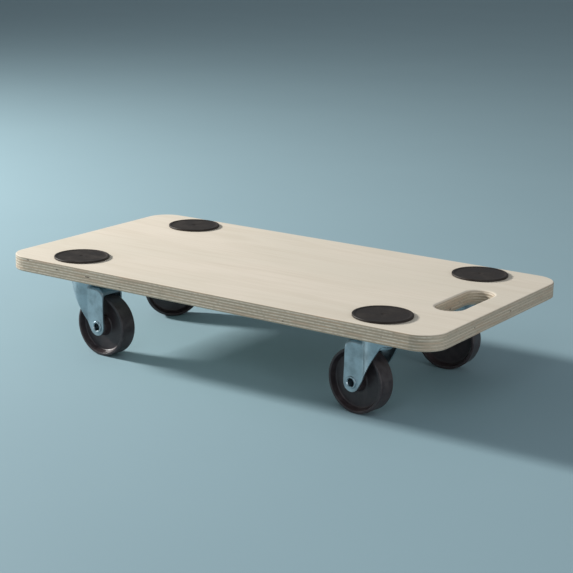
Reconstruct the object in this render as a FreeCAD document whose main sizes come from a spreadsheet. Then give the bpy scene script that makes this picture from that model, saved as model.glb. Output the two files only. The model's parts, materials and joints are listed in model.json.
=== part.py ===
import FreeCAD, Part
import math
import os

import Sketcher
from FreeCAD import Placement, Rotation, Vector

# Platform trolley: a plywood board with a hand slot and grip pads, carried on four swivel casters.
#
# The origin is on the floor under the middle of the board; +X points to the hand slot end and +Z up.
# Each caster is drawn about its own kingpin axis: x along the trail, y along the axle, z up from the floor.

DIMENSIONS = {
    # board
    "deck_length": 600,
    "deck_width": 310,
    "deck_thickness": 18,
    "deck_corner": 30,
    "deck_edge_round": 1.2,
    "handhold_length": 100,
    "handhold_width": 32,
    "handhold_round": 4,
    "handhold_inset": 46.5,
    # grip pads
    "pad_radius": 33.5,
    "pad_thickness": 2.5,
    "pad_rim_width": 2.4,
    "pad_dish": 0.5,
    "pad_dimple_radius": 3,
    "pad_rim_round": 0.7,
    "pad_dish_round": 2,
    "pad_dimple_round": 0.8,
    "pad_across": 213.5,
    "pad_along": 112,
    # caster layout
    "caster_height": 100,
    "kingpin_across": 209,
    "kingpin_along": 104,
    "trail": 28,
    # top plate
    "plate_length": 105,
    "plate_width": 80,
    "plate_thickness": 2.5,
    "plate_corner": 8,
    "plate_slot_width": 8.4,
    "plate_slot_length": 12,
    "screw_spacing_long": 80,
    "screw_spacing_wide": 60,
    # wood screws
    "screw_core_radius": 2,
    "screw_length": 15,
    "screw_head_radius": 6,
    "screw_head_height": 3.4,
    "screw_head_side": 1.5,
    "screw_head_top": 4.5,
    "screw_head_round": 2,
    "screw_recess_width": 1.3,
    "screw_recess_span": 6.4,
    "screw_recess_depth": 2,
    "pilot_clearance": 0.05,
    "pilot_depth": 13.5,
    # swivel bearing
    "dish_floor": 7.5,
    "kingpin_radius": 4.5,
    "kingpin_head_height": 3.4,
    "kingpin_head_gap": 0.3,
    "kingpin_spigot": 3.5,
    "kingpin_button_radius": 6.5,
    "kingpin_button_height": 2.4,
    "kingpin_button_round": 1.6,
    "race_fit": 0.02,
    "race_drop": 2.4,
    "race_thickness": 3,
    "race_radius": 13.1,
    "race_round": 1.8,
    "race_skew": 1.5,
    "race_lip_height": 0.8,
    "race_lip_top": 1.4,
    "race_lip_foot": 1.8,
    "upper_ball_radius": 3,
    "upper_ball_pitch": 14,
    "lower_ball_radius": 2,
    "lower_ball_pitch": 9.5,
    "ball_clearance": 0.05,
    # fork, pressed from sheet
    "sheet": 2,
    "crown_top": 87,
    "head_top": 95,
    "head_radius": 21,
    "head_edge_round": 1,
    "head_blend": 4,
    "crown_flat": 11.2,
    "crown_hole": 7,
    "fork_half_width": 17,
    "shoulder_bend": 4.5,
    "leg_back": 38,
    "lip_start": 26,
    "lip_bend": 16,
    "leg_end_radius": 10.75,
    "leg_lean": 60.5,
    "leg_bow": 60,
    "leg_shoulder": 57.5,
    "leg_straight": 39.5,
    "leg_end_corner": 10.55,
    "skirt_height": 86.5,
    "skirt_throat": -12.1,
    "throat_round": 6,
    # wheel and axle
    "wheel_radius": 37.5,
    "wheel_width": 22,
    "tread_round": 1.6,
    "rim_inside": 34.2,
    "rim_edge_round": 0.5,
    "rim_root": 31.4,
    "web_half": 4,
    "web_round": 2,
    "hub_radius": 11.2,
    "hub_foot": 12.2,
    "hub_half": 14.6,
    "hub_edge_round": 1,
    "bush_radius": 7.1,
    "axle_radius": 5.6,
    "axle_bore": 4.6,
    "axle_mouth": 5.4,
    "axle_flare": 1.2,
    "axle_flange_radius": 7.2,
    "axle_flange": 1.3,
    "axle_flange_round": 0.8,
    "running_fit": 0.05,
}

# corner name: side of the board along X, side along Y, and the heading of the caster's trail in degrees
CORNERS = {
    "front_right": (1, -1, 173),
    "front_left": (1, 1, 183),
    "rear_right": (-1, -1, -3),
    "rear_left": (-1, 1, 226),
}
UPPER_BALLS = 13
LOWER_BALLS = 14

# how far cutting shapes reach past the faces they cut, and joined shapes into each other
MARGIN = "1"

ORIGIN = (-1, 1)
HORIZONTAL_AXIS = -1
VERTICAL_AXIS = -2
START = 1
END = 2
CENTRE = 3

document = FreeCAD.newDocument("PlatformTrolley")


# ---------------------------------------------------------------- driving dimensions

def make_sheet():
    """Writes the driving dimensions to the sheet, each with its alias."""
    sheet = document.addObject("Spreadsheet::Sheet", "dim")
    for row, (alias, value) in enumerate(DIMENSIONS.items(), start=1):
        sheet.set(f"A{row}", alias)
        sheet.set(f"B{row}", str(value))
        sheet.setAlias(f"B{row}", alias)
    document.recompute()
    return sheet


sheet = make_sheet()


def value_of(expression):
    """The number that an expression on the sheet comes to."""
    return float(sheet.evalExpression(expression.replace("dim.", "")))


def bind(item, **properties):
    """Binds properties of an object to expressions on the sheet."""
    for name, expression in properties.items():
        item.setExpression(name, expression)


# ---------------------------------------------------------------- sketching

def new_body(name):
    """A PartDesign body whose label is the name of its file."""
    body = document.addObject("PartDesign::Body", name)
    body.Label = name
    return body


def new_sketch(body, plane, lift="0"):
    """A sketch on one of the body's origin planes, moved along the plane's normal by lift."""
    sketch = body.newObject("Sketcher::SketchObject", "Sketch")
    support = next(item for item in body.Origin.OriginFeatures if item.Role == plane)
    sketch.AttachmentSupport = [(support, "")]
    sketch.MapMode = "FlatFace"
    sketch.AttachmentOffset = Placement(Vector(0, 0, value_of(lift)), Rotation())
    sketch.setExpression("AttachmentOffset.Base.z", lift)
    return sketch


def drive(sketch, kind, elements, expression):
    """Adds a dimension whose value follows the sheet; a zero offset puts the point on the axis."""
    amount = value_of(expression)
    if kind in ("DistanceX", "DistanceY") and abs(amount) < 1e-9:
        axis = VERTICAL_AXIS if kind == "DistanceX" else HORIZONTAL_AXIS
        sketch.addConstraint(Sketcher.Constraint("PointOnObject", *elements[-2:], axis))
        return
    index = sketch.addConstraint(Sketcher.Constraint(kind, *elements, amount))
    sketch.setExpression(f"Constraints[{index}]", expression)


def pin_down(sketch, element, place, x, y):
    """Places a point of the sketch at two expressions."""
    drive(sketch, "DistanceX", (*ORIGIN, element, place), x)
    drive(sketch, "DistanceY", (*ORIGIN, element, place), y)


def add_circle(sketch, x, y, radius):
    """A circle given by expressions."""
    centre = Vector(value_of(x), value_of(y), 0)
    circle = sketch.addGeometry(Part.Circle(centre, Vector(0, 0, 1), value_of(radius)), False)
    pin_down(sketch, circle, CENTRE, x, y)
    drive(sketch, "Radius", (circle,), radius)


def add_outline(sketch, corners):
    """A closed outline.  A corner is (x, y) or (x, y, rounding), all expressions on the sheet."""
    count = len(corners)
    spots = [Vector(value_of(corner[0]), value_of(corner[1]), 0) for corner in corners]
    rounded = [len(corner) > 2 for corner in corners]
    arrivals, departures, middles = [], [], []
    for index, spot in enumerate(spots):
        inward = (spots[index - 1] - spot).normalize()
        onward = (spots[(index + 1) % count] - spot).normalize()
        radius = value_of(corners[index][2]) if rounded[index] else 0
        half_angle = inward.getAngle(onward) / 2
        reach = radius / math.tan(half_angle)
        arrivals.append(spot + inward * reach)
        departures.append(spot + onward * reach)
        bisector = inward + onward
        if rounded[index]:
            bisector.normalize()
            middles.append(spot + bisector * (radius / math.sin(half_angle) - radius))
        else:
            middles.append(spot)

    sides = []
    for index in range(count):
        side = arrivals[(index + 1) % count] - departures[index]
        if side.dot(spots[(index + 1) % count] - spots[index]) <= 0:
            raise RuntimeError(f"no room for the roundings after corner {index} of {corners}")
        line = Part.LineSegment(departures[index], arrivals[(index + 1) % count])
        sides.append(sketch.addGeometry(line, False))
    for index, corner in enumerate(corners):
        before, after = sides[index - 1], sides[index]
        if not rounded[index]:
            sketch.addConstraint(Sketcher.Constraint("Coincident", before, END, after, START))
            pin_down(sketch, after, START, corner[0], corner[1])
            continue
        arc = Part.Arc(arrivals[index], middles[index], departures[index])
        bend = sketch.addGeometry(arc, False)
        ends = arc_ends(sketch, bend, arrivals[index])
        sketch.addConstraint(Sketcher.Constraint("Tangent", before, END, bend, ends[0]))
        sketch.addConstraint(Sketcher.Constraint("Tangent", after, START, bend, ends[1]))
        drive(sketch, "Radius", (bend,), corner[2])
        point = sketch.addGeometry(Part.Point(spots[index]), True)
        sketch.addConstraint(Sketcher.Constraint("PointOnObject", point, START, before))
        sketch.addConstraint(Sketcher.Constraint("PointOnObject", point, START, after))
        pin_down(sketch, point, START, corner[0], corner[1])


def arc_ends(sketch, bend, arrival):
    """The arc's end that meets the side before it, then its other end."""
    if sketch.getPoint(bend, START).distanceToPoint(arrival) < 1e-6:
        return START, END
    return END, START


def add_stadium(sketch, x, y, length, width, upright):
    """A slot with full round ends about the point x, y, lying along Y if upright, else along X."""
    half = f"(({length}) - ({width})) / 2"
    radius = f"({width}) / 2"
    centre = Vector(value_of(x), value_of(y), 0)
    along = Vector(0, 1, 0) if upright else Vector(1, 0, 0)
    across = Vector(-along.y, along.x, 0)
    turn = math.pi / 2 if upright else 0
    bends = []
    for side in (1, -1):
        middle = centre + along * (side * value_of(half))
        circle = Part.Circle(middle, Vector(0, 0, 1), value_of(radius))
        first = turn + (-math.pi / 2 if side > 0 else math.pi / 2)
        bends.append(sketch.addGeometry(Part.ArcOfCircle(circle, first, first + math.pi), False))
        shift = f" + {half}" if side > 0 else f" - {half}"
        spot = (x, y + shift) if upright else (x + shift, y)
        pin_down(sketch, bends[-1], CENTRE, *spot)
    reach = along * value_of(half)
    offset = across * value_of(radius)
    left = Part.LineSegment(centre + reach + offset, centre - reach + offset)
    right = Part.LineSegment(centre - reach - offset, centre + reach - offset)
    left = sketch.addGeometry(left, False)
    right = sketch.addGeometry(right, False)
    joints = ((bends[0], END, left, START), (left, END, bends[1], START),
              (bends[1], END, right, START), (right, END, bends[0], START))
    for joint in joints:
        sketch.addConstraint(Sketcher.Constraint("Tangent", *joint))
    drive(sketch, "Radius", (bends[0],), radius)


# ---------------------------------------------------------------- features

def volume_change(body, feature, sign):
    """Recomputes and makes sure that the feature added (1) or removed (-1) material."""
    before = feature.BaseFeature.Shape.Volume if feature.BaseFeature else 0
    document.recompute()
    change = feature.Shape.Volume - before
    if change * sign <= 0:
        raise RuntimeError(f"{body.Label}: {feature.Label} changed the volume by {change:.1f}")


def pad(body, sketch, length, midplane=False):
    """Pads the sketch along its normal."""
    feature = body.newObject("PartDesign::Pad", "Pad")
    feature.Profile = sketch
    feature.Midplane = midplane
    bind(feature, Length=length)
    volume_change(body, feature, 1)
    return feature


def pocket(body, sketch, length, midplane=False, reverse=False):
    """Cuts the sketch out of the body."""
    feature = body.newObject("PartDesign::Pocket", "Pocket")
    feature.Profile = sketch
    feature.Midplane = midplane
    feature.Reversed = reverse
    bind(feature, Length=length)
    volume_change(body, feature, -1)
    return feature


def turn(body, corners, cut=False):
    """Turns an outline in the XZ plane about Z, adding it to the body or cutting it away."""
    sketch = new_sketch(body, "XZ_Plane")
    add_outline(sketch, corners)
    kind = "Groove" if cut else "Revolution"
    feature = body.newObject(f"PartDesign::{kind}", kind)
    feature.Profile = sketch
    feature.ReferenceAxis = (sketch, ["V_Axis"])
    feature.Angle = 360
    volume_change(body, feature, -1 if cut else 1)
    return feature


def round_edges(body, feature, radius, wanted):
    """Rounds the feature's edges for which wanted(edge) is true."""
    names = [f"Edge{index}" for index, edge in enumerate(feature.Shape.Edges, start=1) if wanted(edge)]
    if not names:
        raise RuntimeError(f"{body.Label}: no edge to round")
    fillet = body.newObject("PartDesign::Fillet", "Fillet")
    fillet.Base = (feature, names)
    bind(fillet, Radius=radius)
    document.recompute()
    return fillet


def flat_at(edge, height):
    """True for an edge that lies in the horizontal plane at this height."""
    box = edge.BoundBox
    return abs(box.ZMin - height) < 1e-4 and abs(box.ZMax - height) < 1e-4


def place(item, x, y, z, heading=0):
    """Puts an object at a place and turns it about Z."""
    item.Placement = Placement(Vector(x, y, z), Rotation(Vector(0, 0, 1), heading))


# ---------------------------------------------------------------- board and pads

def make_deck():
    """The plywood board: rounded corners, a hand slot near the front end, pilot holes underneath."""
    body = new_body("deck_board")
    body.setExpression("Placement.Base.z", "dim.caster_height")

    half_length, half_width = "dim.deck_length / 2", "dim.deck_width / 2"
    sketch = new_sketch(body, "XY_Plane")
    corner = "dim.deck_corner"
    add_outline(sketch, [
        (f"-{half_length}", f"-{half_width}", corner),
        (half_length, f"-{half_width}", corner),
        (half_length, half_width, corner),
        (f"-{half_length}", half_width, corner),
    ])
    board = pad(body, sketch, "dim.deck_thickness")
    heights = (0, value_of("dim.deck_thickness"))
    round_edges(body, board, "dim.deck_edge_round",
                lambda edge: any(flat_at(edge, height) for height in heights))

    slot = new_sketch(body, "XY_Plane")
    add_stadium(slot, f"{half_length} - dim.handhold_inset", "0",
                "dim.handhold_length", "dim.handhold_width", upright=True)
    opening = pocket(body, slot, "dim.deck_thickness", reverse=True)
    slot_start = value_of(f"{half_length} - dim.handhold_inset - dim.handhold_width")
    slot_end = value_of(f"{half_length} - dim.handhold_inset + dim.handhold_width")
    round_edges(body, opening, "dim.handhold_round", lambda edge: (
        any(flat_at(edge, height) for height in heights)
        and edge.BoundBox.XMin > slot_start and edge.BoundBox.XMax < slot_end))

    pilots = new_sketch(body, "XY_Plane")
    for side_x, side_y, _ in CORNERS.values():
        for step_x in (-1, 1):
            for step_y in (-1, 1):
                add_circle(pilots,
                           f"{side_x} * dim.kingpin_across + {step_x} * dim.screw_spacing_long / 2",
                           f"{side_y} * dim.kingpin_along + {step_y} * dim.screw_spacing_wide / 2",
                           "dim.screw_core_radius + dim.pilot_clearance")
    pocket(body, pilots, "dim.pilot_depth", reverse=True)
    return body


def make_pad(corner, side_x, side_y):
    """A round rubber grip pad with a raised rim and a small dimple in the middle."""
    body = new_body(f"{corner}_grip_pad")
    face = "dim.pad_thickness - dim.pad_dish"
    turn(body, [
        ("0", "0"),
        ("dim.pad_radius", "0"),
        ("dim.pad_radius", "dim.pad_thickness", "dim.pad_rim_round"),
        ("dim.pad_radius - dim.pad_rim_width", "dim.pad_thickness", "dim.pad_rim_round"),
        ("dim.pad_radius - 2 * dim.pad_rim_width", face, "dim.pad_dish_round"),
        ("dim.pad_dimple_radius", face, "dim.pad_dimple_round"),
        ("dim.pad_dimple_radius / 2", f"{face} - dim.pad_dish", "dim.pad_dimple_round"),
        ("0", f"{face} - dim.pad_dish"),
    ])
    place(body, side_x * value_of("dim.pad_across"), side_y * value_of("dim.pad_along"),
          value_of("dim.caster_height + dim.deck_thickness"))
    return body


# ---------------------------------------------------------------- caster parts, fixed to the board

UPPER_BALL_HEIGHT = ("(dim.crown_top - dim.crown_flat + dim.upper_ball_pitch"
                     " + (dim.upper_ball_radius + dim.ball_clearance) * 2 ^ 0.5)")
LOWER_BALL_HEIGHT = "(dim.crown_top - dim.sheet - dim.lower_ball_radius - dim.ball_clearance)"
# a 45 degree race face keeps height minus radius constant: this is that constant on the plate's underside
PLATE_RACE = (f"({UPPER_BALL_HEIGHT} - dim.upper_ball_pitch"
              " + (dim.upper_ball_radius + dim.ball_clearance) * 2 ^ 0.5)")
RACE_TOP = "(dim.crown_top - dim.sheet - dim.race_drop)"
RACE_BOTTOM = f"({RACE_TOP} - dim.race_thickness)"


def make_top_plate(corner):
    """The caster's top plate: four slotted holes and a dish whose sloping wall is the upper race."""
    body = new_body(f"{corner}_top_plate")
    underside = "dim.caster_height - dim.plate_thickness"
    sketch = new_sketch(body, "XY_Plane", underside)
    half_length, half_width, corner_round = "dim.plate_length / 2", "dim.plate_width / 2", "dim.plate_corner"
    add_outline(sketch, [
        (f"-{half_length}", f"-{half_width}", corner_round),
        (half_length, f"-{half_width}", corner_round),
        (half_length, half_width, corner_round),
        (f"-{half_length}", half_width, corner_round),
    ])
    pad(body, sketch, "dim.plate_thickness")

    slant = "dim.plate_thickness * 2 ^ 0.5"
    floor_underside = f"dim.dish_floor + {PLATE_RACE}"
    turn(body, [
        ("0", "dim.caster_height"),
        ("0", floor_underside),
        ("dim.dish_floor", floor_underside),
        (f"{underside} - {PLATE_RACE}", underside),
        (f"{underside} - {PLATE_RACE} + {MARGIN}", underside),
        (f"{underside} - {PLATE_RACE} + {MARGIN}", "dim.caster_height"),
    ])
    floor_top = f"{floor_underside} + dim.plate_thickness"
    turn(body, [
        ("0", floor_top),
        (f"{floor_top} - {PLATE_RACE} - {slant}", floor_top),
        (f"dim.caster_height + {MARGIN} - {PLATE_RACE} - {slant}", f"dim.caster_height + {MARGIN}"),
        ("0", f"dim.caster_height + {MARGIN}"),
    ], cut=True)

    holes = new_sketch(body, "XY_Plane", underside)
    for step_x in (-1, 1):
        for step_y in (-1, 1):
            add_stadium(holes, f"{step_x} * dim.screw_spacing_long / 2",
                        f"{step_y} * dim.screw_spacing_wide / 2",
                        "dim.plate_slot_length", "dim.plate_slot_width", upright=False)
    pocket(body, holes, "dim.plate_thickness", reverse=True)
    shank_hole = new_sketch(body, "XY_Plane", floor_underside)
    add_circle(shank_hole, "0", "0", "dim.kingpin_radius + dim.running_fit")
    pocket(body, shank_hole, f"dim.plate_thickness + {MARGIN}", reverse=True)
    return body


def make_screw(corner, number):
    """One pan-head wood screw, driven up through the plate, with a cross recess in its head."""
    body = new_body(f"{corner}_screw_{number}")
    bearing_face = "(dim.caster_height - dim.plate_thickness)"
    tip = f"{bearing_face} + dim.screw_length"
    head_end = f"{bearing_face} - dim.screw_head_height"
    turn(body, [
        ("0", head_end),
        ("dim.screw_head_top", head_end, "dim.screw_head_round"),
        ("dim.screw_head_radius", f"{bearing_face} - dim.screw_head_side", "dim.screw_head_round"),
        ("dim.screw_head_radius", bearing_face),
        ("dim.screw_core_radius", bearing_face),
        ("dim.screw_core_radius", f"{tip} - 2 * dim.screw_core_radius"),
        ("0", tip),
    ])
    recess = new_sketch(body, "XY_Plane", head_end)
    arm, half = "dim.screw_recess_span / 2", "dim.screw_recess_width / 2"
    add_outline(recess, [
        (arm, f"-{half}"), (arm, half), (half, half), (half, arm), (f"-{half}", arm), (f"-{half}", half),
        (f"-{arm}", half), (f"-{arm}", f"-{half}"), (f"-{half}", f"-{half}"), (f"-{half}", f"-{arm}"),
        (half, f"-{arm}"), (half, f"-{half}"),
    ])
    pocket(body, recess, "dim.screw_recess_depth", reverse=True)
    return body


def make_screws(corner):
    """The caster's four screws, as one group."""
    screws = []
    for step_x in (-1, 1):
        for step_y in (-1, 1):
            screw = make_screw(corner, len(screws) + 1)
            place(screw, step_x * value_of("dim.screw_spacing_long / 2"),
                  step_y * value_of("dim.screw_spacing_wide / 2"), 0)
            screws.append(screw)
    group = document.addObject("Part::Compound", f"{corner}_plate_screws")
    group.Label = f"{corner}_plate_screws"
    group.Links = screws
    return group


def make_kingpin(corner):
    """The rivet that the fork turns on: its head fills the plate's dish, its spigot holds the lower race."""
    body = new_body(f"{corner}_kingpin")
    seat = f"(dim.dish_floor + {PLATE_RACE} + dim.plate_thickness)"
    wall = f"({PLATE_RACE} + dim.plate_thickness * 2 ^ 0.5 + dim.kingpin_head_gap)"
    end = f"{RACE_BOTTOM} - dim.kingpin_button_height"
    turn(body, [
        ("0", end),
        ("dim.kingpin_button_radius", end, "dim.kingpin_button_round"),
        ("dim.kingpin_button_radius", RACE_BOTTOM),
        ("dim.kingpin_spigot", RACE_BOTTOM),
        ("dim.kingpin_spigot", RACE_TOP),
        ("dim.kingpin_radius", RACE_TOP),
        ("dim.kingpin_radius", seat),
        (f"{seat} - {wall}", seat),
        (f"{seat} - {wall} + dim.kingpin_head_height", f"{seat} + dim.kingpin_head_height"),
        ("0", f"{seat} + dim.kingpin_head_height"),
    ])
    return body


def make_lower_race(corner):
    """The dished washer under the crown that carries the lower ball ring."""
    bore = "dim.kingpin_spigot + dim.race_fit"
    lip_top = f"{RACE_TOP} + dim.race_lip_height"
    blank = new_body(f"{corner}_lower_race_blank")
    turn(blank, [
        (bore, RACE_BOTTOM),
        ("dim.race_radius - dim.race_skew", RACE_BOTTOM, "dim.race_round"),
        ("dim.race_radius", lip_top),
        ("dim.race_radius - dim.race_lip_top", lip_top),
        ("dim.race_radius - dim.race_lip_foot", RACE_TOP),
        (bore, RACE_TOP),
    ])
    groove = document.addObject("Part::Torus", f"{corner}_lower_groove")
    bind(groove, Radius1="dim.lower_ball_pitch", Radius2="dim.lower_ball_radius + dim.ball_clearance")
    groove.setExpression("Placement.Base.z", LOWER_BALL_HEIGHT)
    race = document.addObject("Part::Cut", f"{corner}_lower_race")
    race.Label = f"{corner}_lower_race"
    race.Base = blank
    race.Tool = groove
    return race


def make_balls(corner, level, count, radius, pitch, height):
    """A full ring of bearing balls, as one group."""
    balls = []
    for index in range(count):
        angle = 360 * index / count
        ball = document.addObject("Part::Sphere", f"{corner}_{level}_ball")
        bind(ball, Radius=radius)
        ball.setExpression("Placement.Base.x", f"{pitch} * cos({angle})")
        ball.setExpression("Placement.Base.y", f"{pitch} * sin({angle})")
        ball.setExpression("Placement.Base.z", height)
        balls.append(ball)
    ring = document.addObject("Part::Compound", f"{corner}_{level}_balls")
    ring.Label = f"{corner}_{level}_balls"
    ring.Links = balls
    return ring


# ---------------------------------------------------------------- caster parts that swivel

def channel_side(sketch, foot, top, bend):
    """The side view of the fork's channel: a level crown whose rear lip curves down."""
    back = f"dim.lip_start + {bend}"
    add_outline(sketch, [("0", foot), (back, foot), (back, top, bend), ("0", top)])


def head_joint(radius, foot, top):
    """Chooses the edges where the round head meets the channel."""
    def wanted(edge):
        middle = edge.valueAt((edge.FirstParameter + edge.LastParameter) / 2)
        spots = [middle] + [vertex.Point for vertex in edge.Vertexes]
        on_head = all(abs(math.hypot(spot.x, spot.y) - radius) < 1e-3 for spot in spots)
        on_seam = all(abs(spot.y) < 1e-3 for spot in spots)
        return on_head and not on_seam and foot + 1e-3 < middle.z < top - 1e-3
    return wanted


def shoulder_edge(half_width, foot):
    """Chooses the channel's side edges that run along its crown, over its lip and down its back."""
    def wanted(edge):
        box = edge.BoundBox
        on_side = abs(abs(box.YMin) - half_width) < 1e-4 and box.YLength < 1e-4
        at_front = box.XMax < 1e-4
        at_foot = box.ZMax < foot + 1e-4
        return on_side and not at_front and not at_foot
    return wanted


def make_fork(corner):
    """The fork, pressed in one piece: a round head with the crown race, and two legs for the axle."""
    body = new_body(f"{corner}_fork")
    foot = f"(dim.wheel_radius - dim.leg_end_radius - {MARGIN})"

    side = new_sketch(body, "XZ_Plane")
    channel_side(side, foot, "dim.crown_top", "dim.lip_bend")
    channel = pad(body, side, "2 * dim.fork_half_width", midplane=True)
    round_edges(body, channel, "dim.shoulder_bend",
                shoulder_edge(value_of("dim.fork_half_width"), value_of(foot)))

    head = new_sketch(body, "XY_Plane", foot)
    add_circle(head, "0", "0", "dim.head_radius")
    barrel = pad(body, head, f"dim.head_top - {foot}")
    joined = round_edges(body, barrel, "dim.head_blend",
                         head_joint(value_of("dim.head_radius"), value_of(foot), value_of("dim.head_top")))
    round_edges(body, joined, "dim.head_edge_round", lambda edge: flat_at(edge, value_of("dim.head_top")))

    inner_half = "(dim.fork_half_width - dim.sheet)"
    inside = new_sketch(body, "XZ_Plane")
    channel_side(inside, f"{foot} - {MARGIN}", "dim.crown_top - dim.sheet", "(dim.lip_bend - dim.sheet)")
    cavity = pocket(body, inside, f"2 * {inner_half}", midplane=True)
    round_edges(body, cavity, "dim.shoulder_bend - dim.sheet",
                shoulder_edge(value_of(inner_half), value_of(foot)))

    race = "(dim.crown_top - dim.crown_flat)"
    hollow = "(dim.head_radius - dim.sheet)"
    underside = f"({race} - dim.sheet * 2 ^ 0.5)"
    crown_underside = "(dim.crown_top - dim.sheet)"
    turn(body, [
        ("0", f"{foot} - {MARGIN}"),
        (hollow, f"{foot} - {MARGIN}"),
        (hollow, f"{hollow} + {underside}"),
        (f"{crown_underside} - {underside}", crown_underside),
        ("0", crown_underside),
    ], cut=True)
    turn(body, [
        ("0", "dim.crown_top"),
        ("dim.crown_flat", "dim.crown_top"),
        (f"dim.head_top - {race} + {MARGIN}", f"dim.head_top + {MARGIN}"),
        ("0", f"dim.head_top + {MARGIN}"),
    ], cut=True)

    trim = new_sketch(body, "XZ_Plane")
    far, high = "4 * dim.head_radius", "3 * dim.wheel_radius"
    add_outline(trim, [(f"-{far}", "0"), (far, "0"), (far, high), (f"-{far}", high)])
    leg_bottom = "dim.wheel_radius - dim.leg_end_radius"
    leg_edge = "dim.trail + dim.leg_end_radius"
    above_head = f"dim.head_top + {MARGIN}"
    add_outline(trim, [
        ("dim.leg_back", above_head),
        ("dim.leg_back", "dim.leg_shoulder", "dim.leg_bow"),
        (leg_edge, "dim.leg_straight"),
        (leg_edge, leg_bottom, "dim.leg_end_corner"),
        ("dim.trail - dim.leg_end_radius * tan(dim.leg_lean / 2)", leg_bottom, "dim.leg_end_radius"),
        ("dim.skirt_throat", "dim.skirt_height", "dim.throat_round"),
        ("-2 * dim.head_radius", "dim.skirt_height"),
        ("-2 * dim.head_radius", above_head),
    ])
    pocket(body, trim, "3 * dim.head_radius", midplane=True)

    pin_hole = new_sketch(body, "XY_Plane", f"dim.crown_top - dim.sheet - {MARGIN}")
    add_circle(pin_hole, "0", "0", "dim.crown_hole")
    pocket(body, pin_hole, f"dim.sheet + 2 * {MARGIN}", reverse=True)
    axle_hole = new_sketch(body, "XZ_Plane")
    add_circle(axle_hole, "dim.trail", "dim.wheel_radius", "dim.axle_radius + dim.running_fit")
    pocket(body, axle_hole, "3 * dim.fork_half_width", midplane=True)
    return body


def mirrored(corners):
    """The corners of an outline on its other side, going back the other way."""
    return [(corner[0], f"-({corner[1]})", *corner[2:]) for corner in reversed(corners)]


def make_axle(corner):
    """The axle: a hollow rivet whose flared ends are rolled over against the outside of the legs."""
    body = new_body(f"{corner}_axle_rivet")
    half = "dim.fork_half_width"
    end = f"({half} + dim.axle_flange)"
    near_side = [
        ("dim.axle_radius", half),
        ("dim.axle_flange_radius", half),
        ("dim.axle_flange_radius", end, "dim.axle_flange_round"),
        ("dim.axle_mouth", end),
        ("dim.axle_bore", f"{end} - dim.axle_flare"),
    ]
    turn(body, near_side + mirrored(near_side))
    return body


def make_bush(corner):
    """The steel tube that keeps the legs apart and that the wheel turns on."""
    body = new_body(f"{corner}_axle_bush")
    half = "(dim.fork_half_width - dim.sheet)"
    inside = "dim.axle_radius + dim.running_fit"
    turn(body, [
        (inside, f"-{half}"),
        ("dim.bush_radius", f"-{half}"),
        ("dim.bush_radius", half),
        (inside, half),
    ])
    return body


def make_wheel(corner):
    """The moulded wheel: rounded tread, thin rim lips, recessed web and a hub that stands proud."""
    body = new_body(f"{corner}_wheel")
    half = "dim.wheel_width / 2"
    bore = "dim.bush_radius + dim.running_fit"
    near_side = [
        (bore, "dim.hub_half"),
        ("dim.hub_radius", "dim.hub_half", "dim.hub_edge_round"),
        ("dim.hub_foot", "dim.web_half", "dim.web_round"),
        ("dim.rim_root", "dim.web_half", "dim.web_round"),
        ("dim.rim_inside", half, "dim.rim_edge_round"),
        ("dim.wheel_radius", half, "dim.tread_round"),
    ]
    turn(body, near_side + mirrored(near_side))
    return body


# ---------------------------------------------------------------- assembly

def place_caster(parts, side_x, side_y, heading, turning):
    """Moves a caster's parts to their corner; only the turning ones take the trail's heading."""
    x = side_x * value_of("dim.kingpin_across")
    y = side_y * value_of("dim.kingpin_along")
    for part in parts:
        place(part, x, y, 0, heading if turning else 0)


def place_on_axle(parts, side_x, side_y, heading):
    """Moves parts that are drawn about Z to the axle, with their own axis along it."""
    x = side_x * value_of("dim.kingpin_across")
    y = side_y * value_of("dim.kingpin_along")
    swivel = Placement(Vector(x, y, 0), Rotation(Vector(0, 0, 1), heading))
    axle = Vector(value_of("dim.trail"), 0, value_of("dim.wheel_radius"))
    lie_down = Placement(axle, Rotation(Vector(1, 0, 0), 90))
    for part in parts:
        part.Placement = swivel.multiply(lie_down)


def make_caster(corner, side_x, side_y, heading):
    """All of one caster's parts, in place."""
    fixed = [make_top_plate(corner), make_screws(corner), make_kingpin(corner), make_lower_race(corner)]
    balls = [
        make_balls(corner, "upper", UPPER_BALLS, "dim.upper_ball_radius", "dim.upper_ball_pitch",
                   UPPER_BALL_HEIGHT),
        make_balls(corner, "lower", LOWER_BALLS, "dim.lower_ball_radius", "dim.lower_ball_pitch",
                   LOWER_BALL_HEIGHT),
    ]
    forks = [make_fork(corner)]
    on_axle = [make_axle(corner), make_bush(corner), make_wheel(corner)]
    place_caster(fixed, side_x, side_y, heading, turning=False)
    place_caster(balls + forks, side_x, side_y, heading, turning=True)
    place_on_axle(on_axle, side_x, side_y, heading)
    return fixed + balls + forks + on_axle


def check(parts):
    """Stops if anything in the document failed or a part has no valid shape."""
    for item in document.Objects:
        if "Invalid" in item.State or "Error" in item.State:
            raise RuntimeError(f"{item.Label} failed: {item.State}")
    for part in parts:
        if part.Shape.isNull() or not part.Shape.isValid():
            raise RuntimeError(f"{part.Label} has no valid shape")


def main():
    parts = [make_deck()]
    for corner, (side_x, side_y, heading) in CORNERS.items():
        parts.append(make_pad(corner, side_x, side_y))
        parts.extend(make_caster(corner, side_x, side_y, heading))
    document.recompute()
    check(parts)
    os.makedirs("parts", exist_ok=True)
    for part in parts:
        part.Shape.exportStep(f"parts/{part.Label}.step")
        print(f"{part.Label}: {len(part.Shape.Solids)} solid(s), {part.Shape.Volume / 1000:.2f} cm3")


main()
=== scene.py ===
import json
import math
import random

import bmesh
import bpy
from mathutils import Matrix, Vector


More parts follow.
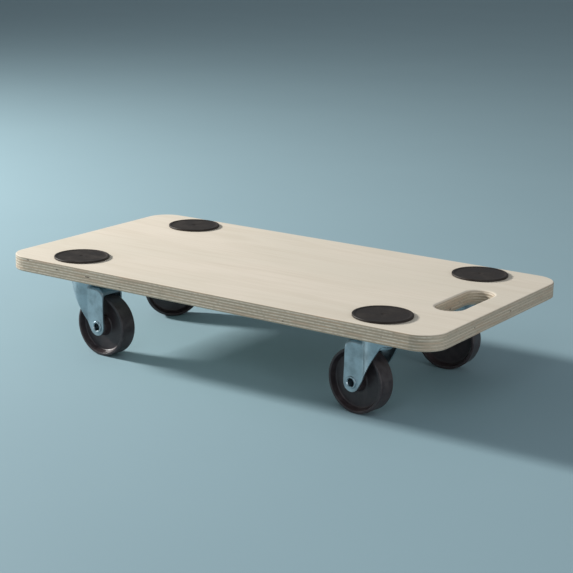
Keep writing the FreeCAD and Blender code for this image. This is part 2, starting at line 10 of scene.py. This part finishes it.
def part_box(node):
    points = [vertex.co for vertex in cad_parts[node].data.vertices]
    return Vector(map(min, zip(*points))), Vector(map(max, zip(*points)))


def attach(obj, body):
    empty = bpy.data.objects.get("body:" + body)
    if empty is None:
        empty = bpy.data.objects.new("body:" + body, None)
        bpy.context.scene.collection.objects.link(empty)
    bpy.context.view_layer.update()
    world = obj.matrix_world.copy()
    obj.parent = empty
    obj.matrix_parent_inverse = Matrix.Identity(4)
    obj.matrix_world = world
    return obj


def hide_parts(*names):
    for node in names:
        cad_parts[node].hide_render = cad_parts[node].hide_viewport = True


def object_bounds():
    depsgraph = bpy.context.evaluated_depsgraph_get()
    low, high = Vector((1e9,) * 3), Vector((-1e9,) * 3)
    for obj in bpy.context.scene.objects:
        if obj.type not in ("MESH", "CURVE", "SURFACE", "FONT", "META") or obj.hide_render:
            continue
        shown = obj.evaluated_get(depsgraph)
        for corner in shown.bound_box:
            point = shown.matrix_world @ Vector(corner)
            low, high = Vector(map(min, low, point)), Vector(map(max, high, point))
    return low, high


# Looks of the platform trolley: materials, detailed rubber pads, floor, lights and camera.
#
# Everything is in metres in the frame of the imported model: +X is the end with the hand slot, +Z is up.

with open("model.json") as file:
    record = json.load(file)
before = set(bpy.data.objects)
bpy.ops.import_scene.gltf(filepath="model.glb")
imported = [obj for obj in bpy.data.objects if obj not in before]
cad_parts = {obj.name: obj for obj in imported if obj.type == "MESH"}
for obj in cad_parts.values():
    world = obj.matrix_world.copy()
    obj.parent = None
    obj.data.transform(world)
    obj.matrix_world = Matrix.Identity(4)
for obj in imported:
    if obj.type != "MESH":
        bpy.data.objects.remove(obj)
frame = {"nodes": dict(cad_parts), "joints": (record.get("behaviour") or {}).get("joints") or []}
cad_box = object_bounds()

CORNERS = ("front_right", "front_left", "rear_right", "rear_left")
MM = 0.001


# ---------------------------------------------------------------- shader nodes

class Paint:
    """A procedural material under construction.  Each call adds a shader node and returns its output."""

    def __init__(self, name, **settings):
        self.material = bpy.data.materials.new(name)
        self.material.use_nodes = True
        self.tree = self.material.node_tree
        self.shader = self.tree.nodes["Principled BSDF"]
        self.point = self.node("TexCoord", {}, output="Object")
        self.normal = self.node("TexCoord", {}, output="Normal")
        for socket, value in settings.items():
            self.put(socket.replace("_", " "), value)

    def feed(self, socket, value):
        if isinstance(value, bpy.types.NodeSocket):
            self.tree.links.new(value, socket)
        else:
            socket.default_value = value

    def node(self, kind, inputs, output=0, **settings):
        node = self.tree.nodes.new("ShaderNode" + kind)
        for name, value in settings.items():
            setattr(node, name, value)
        for name, value in inputs.items():
            self.feed(node.inputs[name], value)
        return node.outputs[output]

    def put(self, socket, value):
        self.feed(self.shader.inputs[socket], value)

    def maths(self, operation, first, second=0.0):
        return self.node("Math", {0: first, 1: second}, operation=operation)

    def axis(self, name, vector=None):
        return self.node("SeparateXYZ", {0: vector or self.point}, output=name)

    def scaled(self, vector, scale):
        return self.node("VectorMath", {0: vector, 1: scale}, operation="MULTIPLY")

    def shifted(self, vector, shift):
        return self.node("VectorMath", {0: vector, 1: shift}, operation="ADD")

    def noise(self, vector, scale=1.0, detail=4.0, roughness=0.5, distortion=0.0):
        return self.node("TexNoise", {"Vector": vector, "Scale": scale, "Detail": detail,
                                      "Roughness": roughness, "Distortion": distortion})

    def ease(self, value, low, high, start=0.0, end=1.0):
        """Goes smoothly from start to end as value goes from low to high."""
        return self.node("MapRange", {0: value, 1: low, 2: high, 3: start, 4: end},
                         interpolation_type="SMOOTHSTEP")

    def mix(self, factor, first, second, blend="MIX"):
        return self.node("Mix", {0: factor, 6: first, 7: second}, output=2,
                         data_type="RGBA", blend_type=blend)

    def between(self, factor, first, second):
        return self.node("Mix", {0: factor, 2: first, 3: second}, data_type="FLOAT")

    def bump(self, height, strength, distance):
        self.put("Normal", self.node("Bump", {"Height": height, "Strength": strength,
                                              "Distance": distance}))


def colour(red, green, blue):
    return (red, green, blue, 1.0)


# ---------------------------------------------------------------- materials

PLIES = 11


def plywood():
    """Birch plywood: sanded face veneer on top, plies with their glue lines on the edges."""
    low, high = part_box("deck_board")
    paint = Paint("plywood")
    paint.put("Specular IOR Level", 0.35)
    point = paint.point
    below_top = paint.maths("SUBTRACT", high.z, paint.axis("Z"))
    depth = paint.maths("DIVIDE", below_top, (high.z - low.z) / PLIES)
    wander = paint.noise(paint.scaled(point, (9, 9, 0)), detail=2.0)
    depth = paint.maths("ADD", depth, paint.ease(wander, 0.3, 0.7, -0.10, 0.10))
    depth = paint.maths("MINIMUM", paint.maths("MAXIMUM", depth, 0.01), PLIES - 0.01)
    index = paint.maths("FLOOR", depth)
    within = paint.maths("FRACT", depth)
    crossed = paint.maths("MODULO", index, 2.0)

    along = paint.scaled(point, (7, 260, 260))
    across = paint.scaled(point, (260, 7, 260))
    grain = paint.node("Mix", {0: crossed, 4: along, 5: across}, output=1, data_type="VECTOR")
    layer = paint.node("CombineXYZ", {0: paint.maths("MULTIPLY", index, 5.3),
                                      1: paint.maths("MULTIPLY", index, 3.1), 2: 0.0})
    grain = paint.shifted(grain, layer)
    streaks = paint.noise(grain, detail=5.0, roughness=0.6)
    fibres = paint.noise(paint.scaled(grain, (5, 5, 5)), detail=3.0, roughness=0.6)
    figure = paint.noise(paint.scaled(point, (5, 32, 0)), detail=3.0, distortion=1.2)
    blotches = paint.noise(paint.scaled(point, (4, 7, 0)), detail=2.0)

    face = paint.mix(paint.ease(blotches, 0.35, 0.68),
                     colour(0.80, 0.725, 0.605), colour(0.845, 0.755, 0.635))
    face = paint.mix(paint.ease(figure, 0.40, 0.72, 0.0, 0.42), face, colour(0.72, 0.635, 0.51))
    face = paint.mix(paint.ease(streaks, 0.45, 0.80, 0.0, 0.38), face, colour(0.68, 0.585, 0.455))

    plies = paint.mix(crossed, colour(0.41, 0.335, 0.245), colour(0.66, 0.575, 0.455))
    endwise = paint.ease(paint.maths("ABSOLUTE", paint.axis("X", paint.normal)), 0.45, 0.90, 0.0, 0.55)
    plies = paint.mix(endwise, plies, colour(0.60, 0.51, 0.395))
    plies = paint.mix(paint.ease(streaks, 0.35, 0.75, 0.0, 0.6), plies, colour(0.30, 0.25, 0.185))
    warm = paint.noise(paint.shifted(paint.scaled(point, (22, 22, 0)), layer), detail=2.0)
    plies = paint.mix(paint.ease(warm, 0.50, 0.68, 0.0, 0.70), plies, colour(0.50, 0.36, 0.25))
    glue = paint.maths("MINIMUM", within, paint.maths("SUBTRACT", 1.0, within))
    plies = paint.mix(paint.ease(glue, 0.03, 0.13, 0.45, 0.0), plies, colour(0.12, 0.085, 0.055))
    void = paint.noise(paint.shifted(paint.scaled(point, (60, 60, 0)), layer), detail=3.0)
    void = paint.maths("MULTIPLY", paint.ease(void, 0.68, 0.73), paint.ease(glue, 0.10, 0.25))
    plies = paint.mix(void, plies, colour(0.08, 0.055, 0.04))

    upright = paint.maths("ABSOLUTE", paint.axis("Z", paint.normal))
    on_face = paint.ease(upright, 0.55, 0.92)
    paint.put("Base Color", paint.mix(on_face, plies, face))
    relief = paint.maths("ADD", fibres, paint.maths("MULTIPLY", paint.ease(glue, 0.03, 0.12), 0.6))
    relief = paint.maths("SUBTRACT", relief, paint.maths("MULTIPLY", void, 1.5))
    paint.bump(paint.between(on_face, relief, streaks), 0.30, 0.12 * MM)
    paint.put("Roughness", paint.ease(fibres, 0.3, 0.7, 0.50, 0.64))
    return paint.material


def rubber():
    """Matt black rubber, a little dusty, with a fine moulded grain."""
    paint = Paint("pad_rubber")
    paint.put("Specular IOR Level", 0.32)
    dust = paint.noise(paint.point, scale=45.0, detail=6.0, roughness=0.65)
    grain = paint.noise(paint.point, scale=1800.0, detail=3.0)
    base = paint.mix(paint.ease(dust, 0.42, 0.75), colour(0.018, 0.0125, 0.010), colour(0.046, 0.037, 0.031))
    paint.put("Base Color", base)
    paint.put("Roughness", paint.ease(dust, 0.3, 0.7, 0.46, 0.62))
    paint.bump(grain, 0.35, 0.10 * MM)
    return paint.material


def zinc(name, tint, roughness):
    """Zinc-plated steel: soft rolling lines, cloudy plating and small dull patches."""
    paint = Paint(name, Metallic=1.0)
    rolling = paint.noise(paint.scaled(paint.point, (700, 700, 45)), detail=4.0, roughness=0.6)
    clouds = paint.noise(paint.point, scale=70.0, detail=4.0, roughness=0.6)
    specks = paint.noise(paint.point, scale=420.0, detail=2.0)
    dull = colour(*(0.72 * part for part in tint))
    base = paint.mix(paint.ease(clouds, 0.35, 0.70), colour(*tint), dull)
    paint.put("Base Color", paint.mix(paint.ease(specks, 0.62, 0.74, 0.0, 0.35), base, dull))
    paint.put("Roughness", paint.maths("ADD", paint.ease(clouds, 0.3, 0.7, roughness, roughness + 0.12),
                                       paint.ease(rolling, 0.3, 0.7, -0.05, 0.05)))
    paint.bump(rolling, 0.18, 0.05 * MM)
    return paint.material


def ball_steel():
    """Polished bearing steel under a thin film of grease."""
    paint = Paint("ball_steel", Metallic=1.0)
    film = paint.noise(paint.point, scale=260.0, detail=3.0)
    paint.put("Base Color", paint.mix(paint.ease(film, 0.40, 0.70),
                                      colour(0.66, 0.66, 0.67), colour(0.42, 0.36, 0.28)))
    paint.put("Roughness", paint.ease(film, 0.35, 0.70, 0.14, 0.38))
    paint.bump(film, 0.15, 0.05 * MM)
    return paint.material


RINGS_PER_METRE = 900.0
TREAD_ROUND = 1.6 * MM
TREAD_SKIN = 0.2 * MM


def wheel_plastic(corner):
    """Dark moulded plastic: fine turned rings on the sides, scuffs and dust on the tread."""
    low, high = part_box(f"{corner}_wheel")
    centre = (low + high) / 2
    heading = wheel_axis(corner)
    paint = Paint(f"{corner}_wheel_plastic")
    paint.put("Specular IOR Level", 0.5)
    spot = paint.shifted(paint.point, tuple(-centre))
    aside = paint.node("VectorMath", {0: spot, 1: tuple(heading)}, output="Value", operation="DOT_PRODUCT")
    off_axis = paint.node("VectorMath", {0: spot, 1: paint.node(
        "VectorMath", {0: tuple(heading), "Scale": aside}, operation="SCALE")}, operation="SUBTRACT")
    radius = paint.node("VectorMath", {0: off_axis}, output="Value", operation="LENGTH")
    across = paint.maths("MULTIPLY", radius, RINGS_PER_METRE)
    sideways = paint.maths("MULTIPLY", aside, RINGS_PER_METRE)
    rings = paint.noise(paint.node("CombineXYZ", {0: across, 1: sideways, 2: 0.0}), detail=2.0)
    mottle = paint.noise(paint.point, scale=120.0, detail=5.0, roughness=0.65)
    grit = paint.noise(paint.point, scale=700.0, detail=3.0, roughness=0.7)
    tread = paint.ease(radius, high.z / 2 - TREAD_ROUND, high.z / 2 - TREAD_SKIN)
    scuffs = paint.maths("MULTIPLY", tread, paint.ease(mottle, 0.38, 0.66))
    base = paint.mix(paint.ease(mottle, 0.35, 0.70),
                     colour(0.029, 0.020, 0.022), colour(0.046, 0.034, 0.036))
    base = paint.mix(paint.maths("MULTIPLY", scuffs, 0.40), base, colour(0.078, 0.066, 0.066))
    base = paint.mix(paint.ease(grit, 0.66, 0.78, 0.0, 0.30), base, colour(0.11, 0.095, 0.095))
    paint.put("Base Color", base)
    paint.put("Roughness", paint.maths("ADD", paint.ease(mottle, 0.3, 0.7, 0.33, 0.45),
                                       paint.maths("MULTIPLY", scuffs, 0.15)))
    paint.bump(paint.maths("ADD", rings, paint.maths("MULTIPLY", grit, 0.5)), 0.25, 0.06 * MM)
    return paint.material


def wheel_axis(corner):
    """The direction of the wheel's axle."""
    joint = next(item for item in frame["joints"] if item["name"] == f"{corner}_roll")
    return Vector(joint["axis"]).normalized()


def give(node, material):
    """Puts one material on every face of a CAD node."""
    mesh = frame["nodes"][node].data
    mesh.materials.clear()
    mesh.materials.append(material)


# ---------------------------------------------------------------- detailed pieces

def turned(name, outline, segments):
    """A mesh turned about Z from an outline of (radius, height), centred on the origin."""
    grid = bmesh.new()
    rings = []
    for radius, height in outline:
        if radius < 1e-7:
            rings.append([grid.verts.new((0, 0, height))])
            continue
        ring = []
        for step in range(segments):
            angle = 2 * math.pi * step / segments
            ring.append(grid.verts.new((radius * math.cos(angle), radius * math.sin(angle), height)))
        rings.append(ring)
    for lower, upper in zip(rings, rings[1:]):
        for step in range(segments):
            after = (step + 1) % segments
            if len(lower) == 1:
                grid.faces.new((lower[0], upper[step], upper[after]))
            elif len(upper) == 1:
                grid.faces.new((lower[step], upper[0], lower[after]))
            else:
                grid.faces.new((lower[step], upper[step], upper[after], lower[after]))
    bmesh.ops.recalc_face_normals(grid, faces=grid.faces)
    mesh = bpy.data.meshes.new(name)
    grid.to_mesh(mesh)
    grid.free()
    mesh.shade_smooth()
    piece = bpy.data.objects.new(name, mesh)
    bpy.context.scene.collection.objects.link(piece)
    return piece


def arc(centre, radius, start, end, steps):
    """Points of an arc in the outline's plane; angles in degrees."""
    points = []
    for step in range(steps + 1):
        angle = math.radians(start + (end - start) * step / steps)
        points.append((centre[0] + radius * math.cos(angle), centre[1] + radius * math.sin(angle)))
    return points


# ---------------------------------------------------------------- stage

CAMERA_PLACE = Vector((1.0259, -1.4992, 0.5693))
CAMERA_YAW = math.radians(-34.053)
CAMERA_PITCH = math.radians(-14.699)
CAMERA_ROLL = math.radians(1.016)
CAMERA_LENS = 97.75


def make_camera():
    """The camera, given by its place, the direction it looks in and its roll."""
    data = bpy.data.cameras.new("camera")
    data.lens = CAMERA_LENS
    camera = bpy.data.objects.new("camera", data)
    bpy.context.scene.collection.objects.link(camera)
    level = math.cos(CAMERA_PITCH)
    forward = Vector((level * math.sin(CAMERA_YAW), level * math.cos(CAMERA_YAW), math.sin(CAMERA_PITCH)))
    right = Vector((math.cos(CAMERA_YAW), -math.sin(CAMERA_YAW), 0))
    up = right.cross(forward)
    tilted_right = right * math.cos(CAMERA_ROLL) + up * math.sin(CAMERA_ROLL)
    tilted_up = up * math.cos(CAMERA_ROLL) - right * math.sin(CAMERA_ROLL)
    turn = Matrix((tilted_right, tilted_up, -forward)).transposed().to_4x4()
    camera.matrix_world = Matrix.Translation(CAMERA_PLACE) @ turn
    bpy.context.scene.camera = camera


FLOOR_HALF_WIDTH = 14.0


def make_floor():
    """A wide pale floor."""
    half = FLOOR_HALF_WIDTH
    mesh = bpy.data.meshes.new("floor")
    corners = [(-half, -half, 0), (half, -half, 0), (half, half, 0), (-half, half, 0)]
    mesh.from_pydata(corners, [], [(0, 1, 2, 3)])
    floor = bpy.data.objects.new("floor", mesh)
    bpy.context.scene.collection.objects.link(floor)
    paint = Paint("floor_paint", Roughness=0.75)
    clouds = paint.noise(paint.point, scale=3.0, detail=3.0)
    paint.put("Base Color", paint.mix(clouds, colour(0.285, 0.42, 0.475), colour(0.305, 0.445, 0.50)))
    mesh.materials.append(paint.material)


def make_light(name, place, target, size, power, tint):
    """A square area light that shines from one place towards another."""
    data = bpy.data.lights.new(name, "AREA")
    data.size = size
    data.energy = power
    data.color = tint
    light = bpy.data.objects.new(name, data)
    bpy.context.scene.collection.objects.link(light)
    light.location = place
    light.rotation_euler = (Vector(target) - Vector(place)).to_track_quat("-Z", "Y").to_euler()


def make_lights():
    """A low key light from beyond the rear end, weak fills from the side and the slot end, a pale sky."""
    low, high = cad_box
    middle = (low + high) / 2
    make_light("key", middle + Vector((-2.64, -0.54, 1.20)), middle, 0.38, 128.0, (1.0, 0.985, 0.955))
    make_light("fill", middle + Vector((1.0, -2.6, 1.9)), middle, 1.2, 12.0, (0.92, 0.95, 1.0))
    make_light("end_fill", middle + Vector((2.8, -0.7, 0.55)), middle, 1.8, 24.0, (0.96, 0.98, 1.0))
    world = bpy.data.worlds.new("studio")
    bpy.context.scene.world = world
    world.use_nodes = True
    background = world.node_tree.nodes["Background"]
    background.inputs["Color"].default_value = colour(0.80, 0.87, 0.92)
    background.inputs["Strength"].default_value = 0.27
    bpy.context.scene.view_settings.view_transform = "Standard"


# ---------------------------------------------------------------- the object

def dress_nodes():
    """Materials for the CAD nodes that stay."""
    give("deck_board", plywood())
    # This steel's bluish tint is a painted reflection of the blue floor, and its darkness below bright zinc
    # is painted shade from under the deck.
    plated = zinc("zinc_steel", (0.43, 0.52, 0.565), 0.32)
    bright = zinc("screw_zinc", (0.58, 0.62, 0.65), 0.26)
    balls = ball_steel()
    for corner in CORNERS:
        for part in ("top_plate", "kingpin", "lower_race", "fork", "axle_rivet", "axle_bush"):
            give(f"{corner}_{part}", plated)
        give(f"{corner}_plate_screws", bright)
        give(f"{corner}_upper_balls", balls)
        give(f"{corner}_lower_balls", balls)
        give(f"{corner}_wheel", wheel_plastic(corner))


PAD_RIM = 2.4 * MM
PAD_DISH = 0.5 * MM
PAD_EDGE_ROUND = 0.7 * MM
PAD_FOOT_ROUND = 0.4 * MM
PAD_FOOT_INSET = 0.6 * MM
PAD_LIP_ROUND = 0.8 * MM
PAD_RING_STEP = 1.2 * MM
PAD_RINGS = 19
PAD_SEGMENTS = 96
PAD_SEED = 5


def pad_outline(radius, thick):
    """Half of a pad's section: foot, rolled rim, level dish and the dimple in its middle."""
    floor = thick - PAD_DISH
    dish_start = radius - 2 * PAD_RIM
    outline = [(0, 0.0), (radius - PAD_FOOT_INSET, 0.0)]
    outline += arc((radius - PAD_FOOT_ROUND, PAD_FOOT_ROUND), PAD_FOOT_ROUND, -90, 0, 4)
    outline += arc((radius - PAD_EDGE_ROUND, thick - PAD_EDGE_ROUND), PAD_EDGE_ROUND, 0, 90, 6)
    outline += arc((radius - PAD_RIM, thick - PAD_LIP_ROUND), PAD_LIP_ROUND, 90, 140, 5)
    outline += [(dish_start - ring * PAD_RING_STEP, floor) for ring in range(PAD_RINGS + 1)]
    outline += [(3.0 * MM, floor), (2.3 * MM, floor - 0.2 * MM)]
    outline += [(1.4 * MM, floor - PAD_DISH), (0, floor - PAD_DISH)]
    return outline


def make_pads():
    """The rubber pads: a rolled rim round a shallow, slightly uneven dish with a dimple in its middle."""
    material = rubber()
    chance = random.Random(PAD_SEED)
    for corner in CORNERS:
        low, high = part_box(f"{corner}_grip_pad")
        centre = (low + high) / 2
        radius, thick = (high.x - low.x) / 2, high.z - low.z
        phases = [chance.uniform(0, 2 * math.pi) for _ in range(3)]
        tilt = chance.uniform(0.10, 0.16) * MM
        piece = turned(f"{corner}_pad", pad_outline(radius, thick), PAD_SEGMENTS)
        for vertex in piece.data.vertices:
            if vertex.co.z > thick / 2:
                angle = math.atan2(vertex.co.y, vertex.co.x)
                inside = max(0.0, 1 - (vertex.co.xy.length / (radius - 2 * PAD_RIM)) ** 2)
                wave = math.cos(angle + phases[0]) + 0.6 * math.cos(2 * angle + phases[1])
                vertex.co.z += inside * (wave - 1) * tilt
        piece.data.transform(Matrix.Translation((centre.x, centre.y, low.z)))
        piece.data.materials.append(material)
        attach(piece, "root")
        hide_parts(f"{corner}_grip_pad")


dress_nodes()
make_pads()
make_floor()
make_lights()
make_camera()
